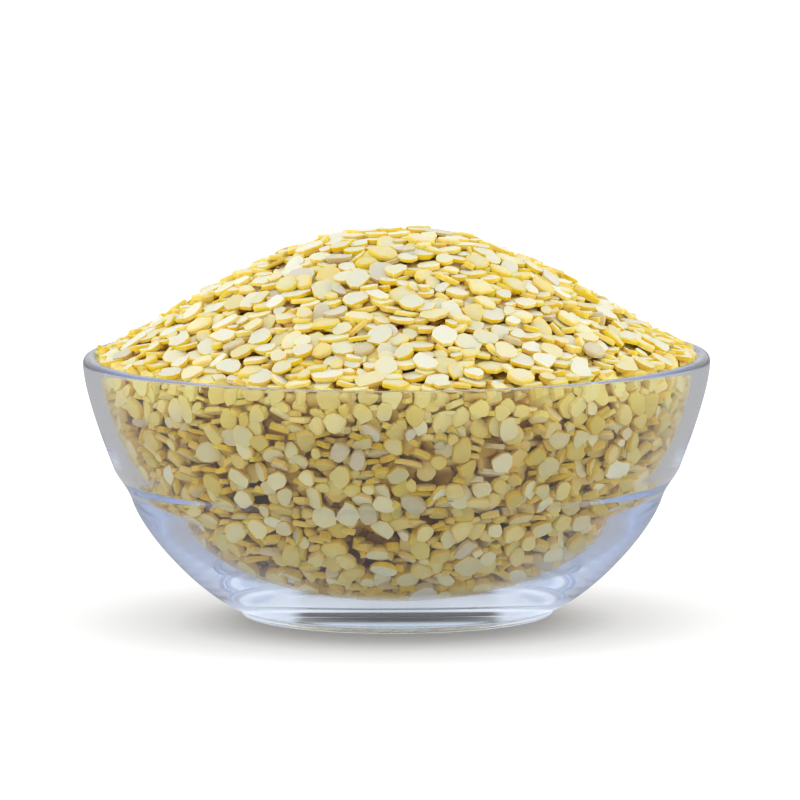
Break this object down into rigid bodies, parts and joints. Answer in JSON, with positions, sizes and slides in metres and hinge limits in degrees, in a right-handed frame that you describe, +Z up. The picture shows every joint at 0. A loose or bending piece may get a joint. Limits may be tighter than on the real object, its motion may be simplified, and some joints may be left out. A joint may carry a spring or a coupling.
{
  "type": "dish of dry lentils",
  "caption": "Round clear glass bowl with a foot ring and a soft stacking ledge, heaped well over its rim with dry split yellow lentils.",
  "frame": {"origin": "middle of the foot ring, on the surface that the bowl stands on", "axes": "+Z up along the bowl's axis, the side shown in the picture faces -Y, and +X points to the picture's right"},
  "size_m": [0.12, 0.12, 0.0753],
  "materials": {
    "glass": "clear polished glass with a faint blue tint",
    "lentils": "dry matte, pale yellow with cream faces and golden edges"
  },
  "bodies": {
    "root": {"bowl": "glass", "lentils": "lentils"}
  },
  "joints": []
}
